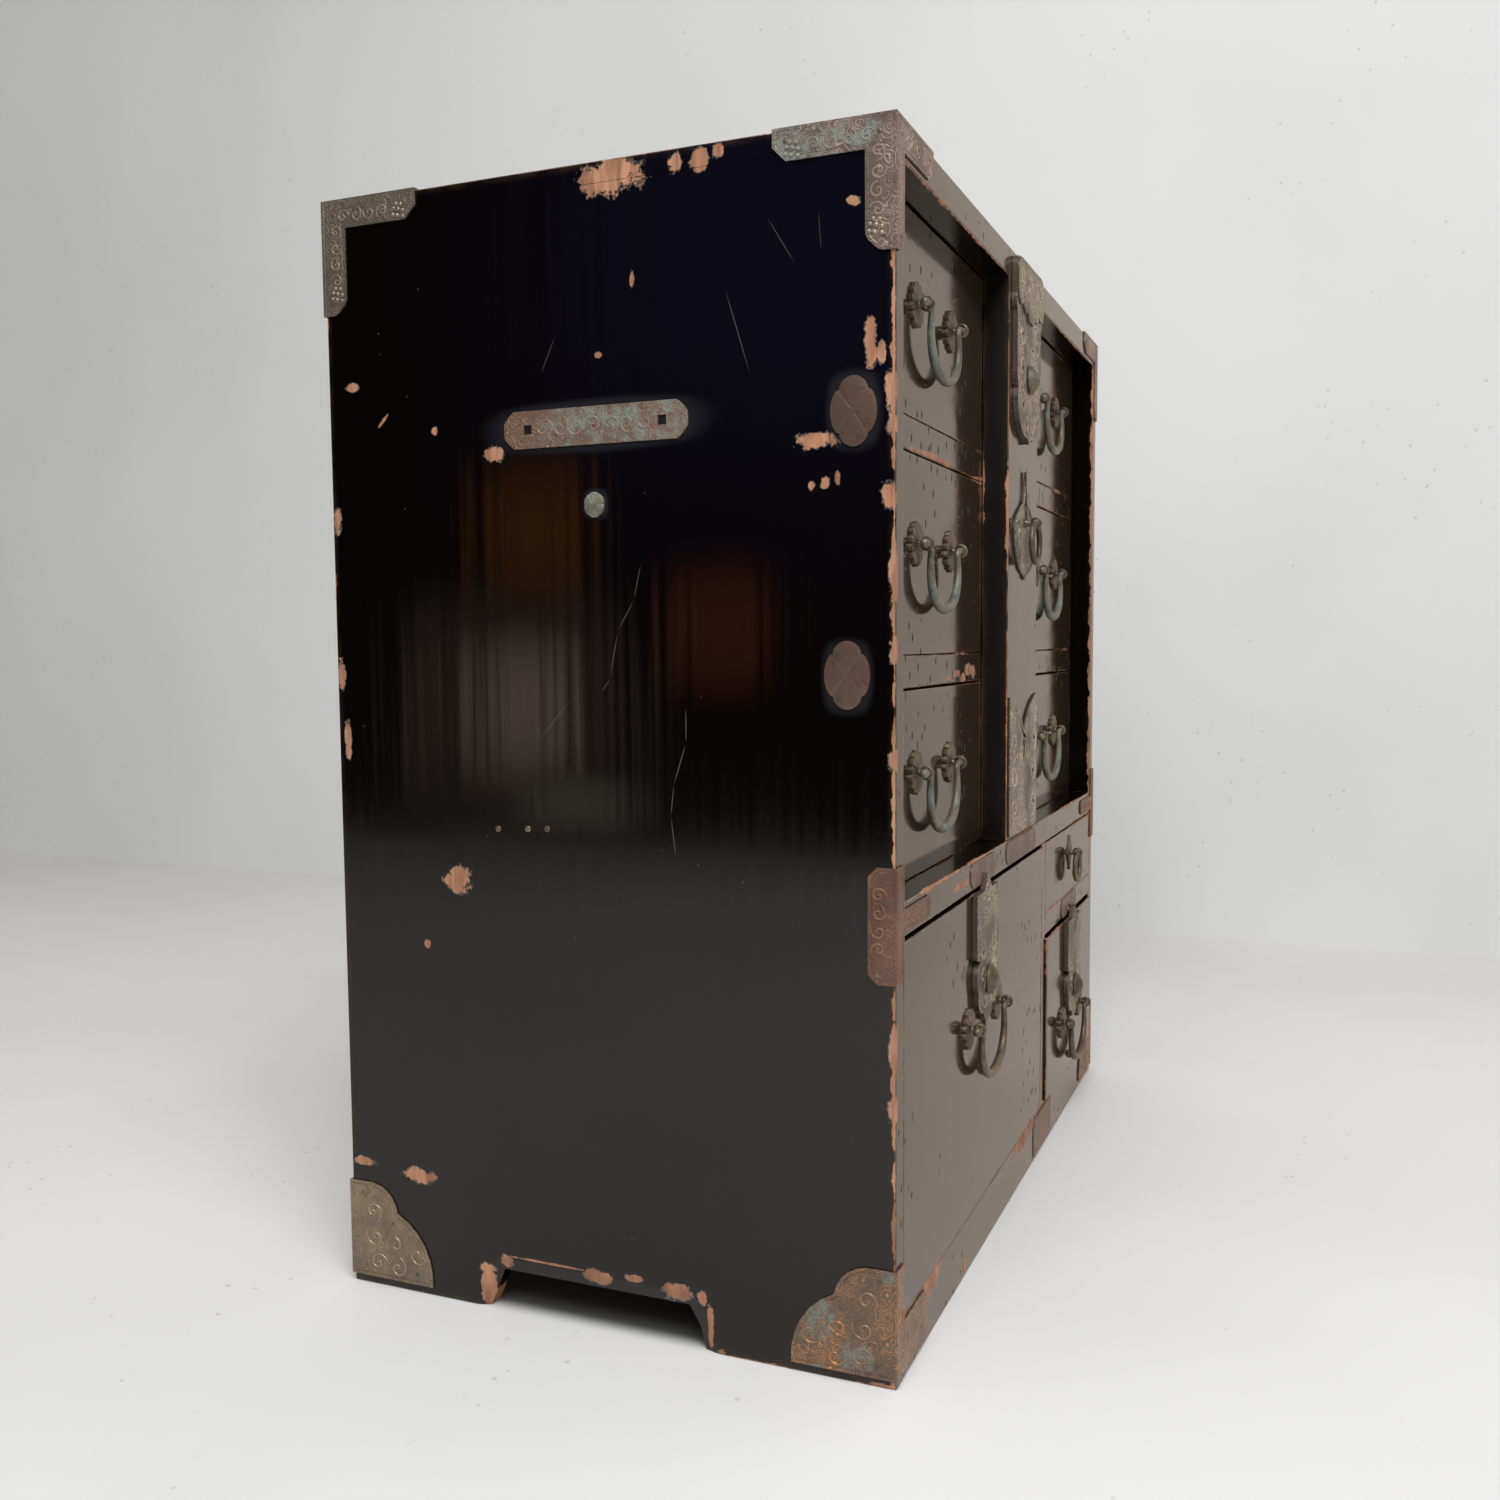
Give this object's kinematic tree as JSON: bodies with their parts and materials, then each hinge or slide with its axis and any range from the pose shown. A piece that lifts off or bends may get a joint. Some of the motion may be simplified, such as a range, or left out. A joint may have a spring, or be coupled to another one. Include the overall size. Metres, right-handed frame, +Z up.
{
  "type": "tansu chest",
  "caption": "Lacquered Japanese chest of drawers with a tip-out locking bar, hanging bail pulls, sliding lock knobs and metal corner fittings.",
  "frame": {"origin": "on the floor, under the middle of the whole chest", "axes": "+Z up, the front faces -Y, +X to the right of a person who faces the front"},
  "size_m": [0.841, 0.5036, 0.9015],
  "materials": {
    "black_lacquer": "black lacquer, worn at the edges",
    "bare_wood": "bare paulownia",
    "aged_copper": "brown patinated copper sheet",
    "aged_bronze": "bronze with green patina"
  },
  "bodies": {
    "case": {"back_panel": "bare_wood", "bottom_board": "bare_wood", "bottom_rail": "black_lacquer", "edge_plate_left": "aged_copper", "edge_plate_right": "aged_copper", "foot_corner_back_left": "aged_copper", "foot_corner_back_right": "aged_copper", "foot_corner_front_left": "aged_copper", "foot_corner_front_right": "aged_copper", "lower_partition": "black_lacquer", "middle_shelf": "black_lacquer", "partition_left": "black_lacquer", "partition_right": "black_lacquer", "side_left": "black_lacquer", "side_right": "black_lacquer", "small_drawer_shelf": "black_lacquer", "top_board": "black_lacquer", "top_corner_back_left": "aged_copper", "top_corner_back_right": "aged_copper", "top_corner_front_left": "aged_copper", "top_corner_front_right": "aged_copper", "upper_shelf_1": "black_lacquer", "upper_shelf_2": "black_lacquer"},
    "left_drawer_1": {"left_drawer_1_front": "black_lacquer", "left_drawer_1_tray": "bare_wood"},
    "left_drawer_1_bail": {"left_drawer_1_bail": "aged_bronze"},
    "left_drawer_2": {"left_drawer_2_front": "black_lacquer", "left_drawer_2_tray": "bare_wood"},
    "left_drawer_2_bail": {"left_drawer_2_bail": "aged_bronze"},
    "left_drawer_3": {"left_drawer_3_front": "black_lacquer", "left_drawer_3_tray": "bare_wood"},
    "left_drawer_3_bail": {"left_drawer_3_bail": "aged_bronze"},
    "right_drawer_1": {"right_drawer_1_front": "black_lacquer", "right_drawer_1_tray": "bare_wood"},
    "right_drawer_1_bail": {"right_drawer_1_bail": "aged_bronze"},
    "right_drawer_2": {"right_drawer_2_front": "black_lacquer", "right_drawer_2_tray": "bare_wood"},
    "right_drawer_2_bail": {"right_drawer_2_bail": "aged_bronze"},
    "right_drawer_3": {"right_drawer_3_front": "black_lacquer", "right_drawer_3_tray": "bare_wood"},
    "right_drawer_3_bail": {"right_drawer_3_bail": "aged_bronze"},
    "large_drawer": {"large_drawer_front": "black_lacquer", "large_drawer_tray": "bare_wood", "large_drawer_lock_plate": "aged_bronze"},
    "large_drawer_bail": {"large_drawer_bail": "aged_bronze"},
    "large_drawer_knob": {"large_drawer_knob": "aged_copper"},
    "deep_drawer": {"deep_drawer_front": "black_lacquer", "deep_drawer_tray": "bare_wood", "deep_drawer_lock_plate": "aged_bronze"},
    "deep_drawer_bail": {"deep_drawer_bail": "aged_bronze"},
    "deep_drawer_knob": {"deep_drawer_knob": "aged_copper"},
    "small_drawer": {"small_drawer_front": "black_lacquer", "small_drawer_tray": "bare_wood"},
    "small_drawer_ring": {"small_drawer_ring": "aged_bronze"},
    "locking_bar": {"locking_bar": "black_lacquer", "bar_top_plate": "aged_bronze", "bar_middle_plate": "aged_bronze", "bar_bottom_plate": "aged_bronze"},
    "bar_ring": {"bar_ring": "aged_bronze"},
    "bar_knob": {"bar_knob": "aged_copper"}
  },
  "joints": [
    {"name": "left_drawer_1_slide", "type": "slide", "parent": "case", "child": "left_drawer_1", "axis": [0, -1, 0], "range_m": [0, 0.3]},
    {"name": "left_drawer_2_slide", "type": "slide", "parent": "case", "child": "left_drawer_2", "axis": [0, -1, 0], "range_m": [0, 0.3]},
    {"name": "left_drawer_3_slide", "type": "slide", "parent": "case", "child": "left_drawer_3", "axis": [0, -1, 0], "range_m": [0, 0.3]},
    {"name": "right_drawer_1_slide", "type": "slide", "parent": "case", "child": "right_drawer_1", "axis": [0, -1, 0], "range_m": [0, 0.3]},
    {"name": "right_drawer_2_slide", "type": "slide", "parent": "case", "child": "right_drawer_2", "axis": [0, -1, 0], "range_m": [0, 0.3]},
    {"name": "right_drawer_3_slide", "type": "slide", "parent": "case", "child": "right_drawer_3", "axis": [0, -1, 0], "range_m": [0, 0.3]},
    {"name": "large_drawer_slide", "type": "slide", "parent": "case", "child": "large_drawer", "axis": [0, -1, 0], "range_m": [0, 0.32]},
    {"name": "deep_drawer_slide", "type": "slide", "parent": "case", "child": "deep_drawer", "axis": [0, -1, 0], "range_m": [0, 0.32]},
    {"name": "small_drawer_slide", "type": "slide", "parent": "case", "child": "small_drawer", "axis": [0, -1, 0], "range_m": [0, 0.3]},
    {"name": "left_drawer_1_bail_hinge", "type": "hinge", "parent": "left_drawer_1", "child": "left_drawer_1_bail", "pos_m": [-0.23225, -0.2177, 0.803], "axis": [-1, 0, 0], "range_deg": [-4, 110]},
    {"name": "left_drawer_2_bail_hinge", "type": "hinge", "parent": "left_drawer_2", "child": "left_drawer_2_bail", "pos_m": [-0.23225, -0.2177, 0.619], "axis": [-1, 0, 0], "range_deg": [-4, 110]},
    {"name": "left_drawer_3_bail_hinge", "type": "hinge", "parent": "left_drawer_3", "child": "left_drawer_3_bail", "pos_m": [-0.23225, -0.2177, 0.4385], "axis": [-1, 0, 0], "range_deg": [-4, 110]},
    {"name": "right_drawer_1_bail_hinge", "type": "hinge", "parent": "right_drawer_1", "child": "right_drawer_1_bail", "pos_m": [0.23225, -0.2177, 0.803], "axis": [-1, 0, 0], "range_deg": [-4, 110]},
    {"name": "right_drawer_2_bail_hinge", "type": "hinge", "parent": "right_drawer_2", "child": "right_drawer_2_bail", "pos_m": [0.23225, -0.2177, 0.619], "axis": [-1, 0, 0], "range_deg": [-4, 110]},
    {"name": "right_drawer_3_bail_hinge", "type": "hinge", "parent": "right_drawer_3", "child": "right_drawer_3_bail", "pos_m": [0.23225, -0.2177, 0.4385], "axis": [-1, 0, 0], "range_deg": [-4, 110]},
    {"name": "large_drawer_bail_hinge", "type": "hinge", "parent": "large_drawer", "child": "large_drawer_bail", "pos_m": [-0.1565, -0.2427, 0.2135], "axis": [-1, 0, 0], "range_deg": [-1, 110]},
    {"name": "large_drawer_knob_slide", "type": "slide", "parent": "large_drawer", "child": "large_drawer_knob", "axis": [0, 0, 1], "range_m": [0, 0.006]},
    {"name": "deep_drawer_bail_hinge", "type": "hinge", "parent": "deep_drawer", "child": "deep_drawer_bail", "pos_m": [0.2615, -0.2452, 0.1125], "axis": [-1, 0, 0], "range_deg": [-1, 110]},
    {"name": "deep_drawer_knob_slide", "type": "slide", "parent": "deep_drawer", "child": "deep_drawer_knob", "axis": [0, 0, 1], "range_m": [0, 0.006]},
    {"name": "small_drawer_ring_hinge", "type": "hinge", "parent": "small_drawer", "child": "small_drawer_ring", "pos_m": [0.2615, -0.2427, 0.299], "axis": [-1, 0, 0], "range_deg": [-5, 100]},
    {"name": "locking_bar_tip", "type": "hinge", "parent": "case", "child": "locking_bar", "pos_m": [0, -0.2327, 0.355], "axis": [1, 0, 0], "range_deg": [0, 30]},
    {"name": "bar_ring_hinge", "type": "hinge", "parent": "locking_bar", "child": "bar_ring", "pos_m": [0, -0.245, 0.655], "axis": [-1, 0, 0], "range_deg": [-5, 100]},
    {"name": "bar_knob_slide", "type": "slide", "parent": "locking_bar", "child": "bar_knob", "axis": [0, 0, 1], "range_m": [0, 0.006]}
  ]
}
